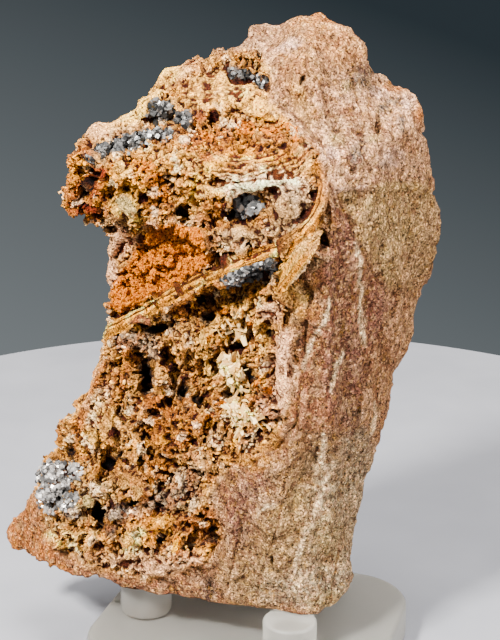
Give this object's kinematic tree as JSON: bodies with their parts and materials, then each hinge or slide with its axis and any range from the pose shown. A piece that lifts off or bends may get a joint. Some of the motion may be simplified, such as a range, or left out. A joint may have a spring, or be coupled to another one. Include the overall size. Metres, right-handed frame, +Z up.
{
  "type": "kasolite specimen",
  "caption": "Fractured sandstone with a vuggy vein of orange kasolite, grey galena and cream cerussite, standing upright on a clear post stand.",
  "frame": {"origin": "middle of the underside of the stand's plate", "axes": "+Z up along the standing stone, -Y towards the vein's side, which is the front"},
  "size_m": [0.0721, 0.0504, 0.1036],
  "materials": {
    "sandstone": "rough broken rock, reddish brown to tan",
    "kasolite": "fine crystal crust, orange",
    "galena": "grey metallic cubes",
    "cerussite": "cream bladed crystals",
    "clear_acrylic": "clear, polished"
  },
  "bodies": {
    "root": {"stone": "sandstone", "kasolite_crust": "kasolite", "kasolite_patch_upper": "kasolite", "kasolite_patch_left": "kasolite", "galena_knot": "galena", "galena_block": "galena", "galena_band": "galena", "galena_lens": "galena", "galena_corner": "galena", "galena_top": "galena", "cerussite_crust_upper": "cerussite", "cerussite_crust_lower": "cerussite", "stand_base": "clear_acrylic", "stand_post_left": "clear_acrylic", "stand_post_right": "clear_acrylic", "stand_post_back": "clear_acrylic"}
  },
  "joints": []
}
